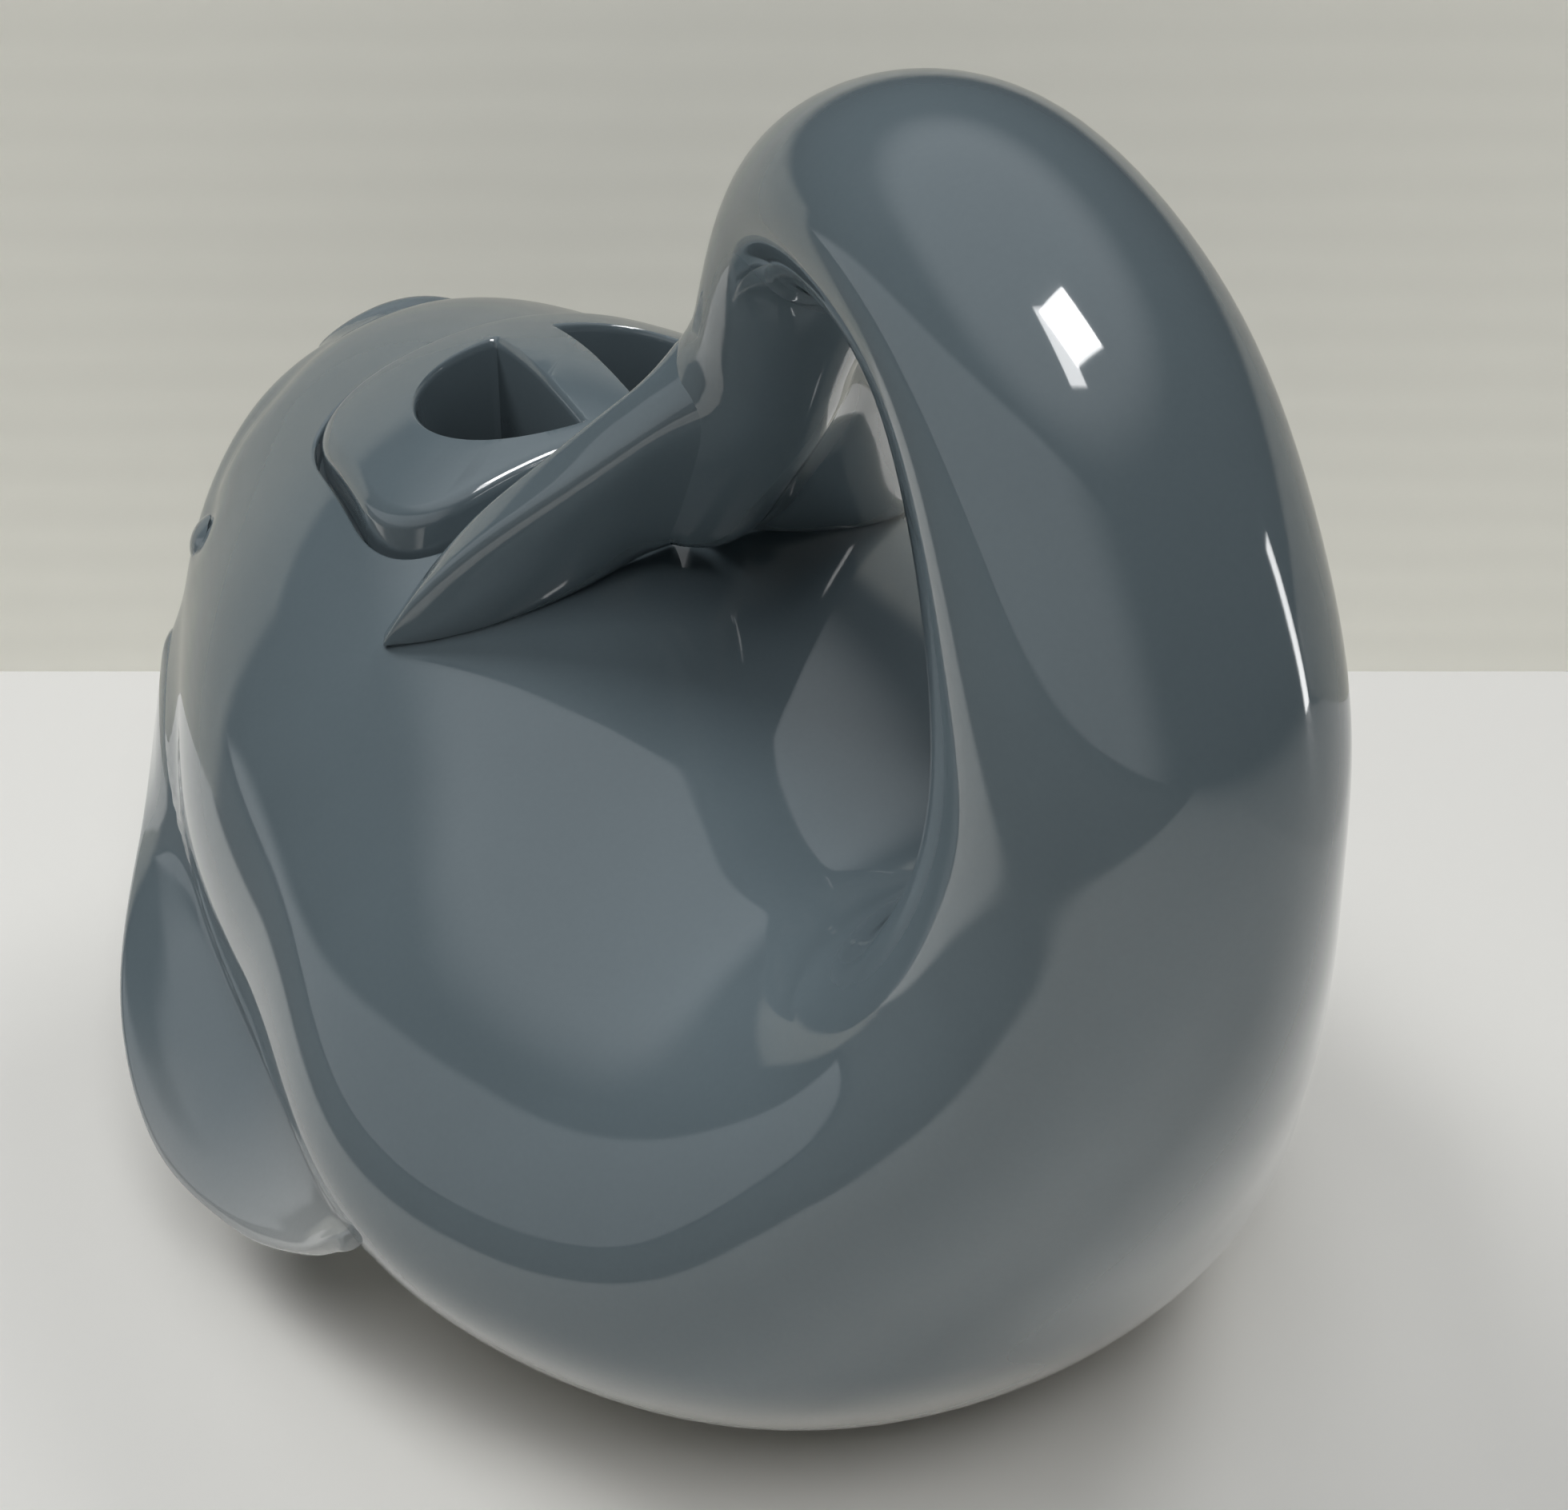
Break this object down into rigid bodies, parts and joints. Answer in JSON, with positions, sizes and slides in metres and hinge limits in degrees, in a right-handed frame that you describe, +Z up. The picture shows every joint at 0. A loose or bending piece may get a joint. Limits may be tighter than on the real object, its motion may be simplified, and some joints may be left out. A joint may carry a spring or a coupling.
{
  "type": "teapot",
  "caption": "Whale-shaped ceramic teapot: hollow body, tail curled over the back as the handle, mouth spout, lift-off lid with two finger wells.",
  "frame": {"origin": "on the resting surface, under the middle of the whale's length and width", "axes": "+Z up, the whale looks along -Y, its left side is +X, the tail is at +Y"},
  "size_m": [0.162, 0.2254, 0.174],
  "materials": {
    "body_glaze": "glossy blue-grey glaze over white clay",
    "lid_glaze": "glossy blue-grey glaze over white clay",
    "inner_glaze": "glossy",
    "eye_glaze": "glossy",
    "bare_clay": "matt, unglazed"
  },
  "bodies": {
    "pot": {"pot_body": "body_glaze", "tail_handle": "body_glaze", "fluke_left": "body_glaze", "fluke_right": "body_glaze", "fin_left": "body_glaze", "fin_right": "body_glaze", "eye_left": "eye_glaze", "eye_right": "eye_glaze", "spout": "body_glaze", "strainer": "inner_glaze", "foot_ring": "bare_clay"},
    "lid": {"lid_cap": "lid_glaze", "finger_well_left": "lid_glaze", "finger_well_right": "lid_glaze"}
  },
  "joints": [
    {"name": "lid_lift", "type": "slide", "parent": "pot", "child": "lid", "axis": [0, 0, 1], "range_m": [0, 0.045]}
  ]
}
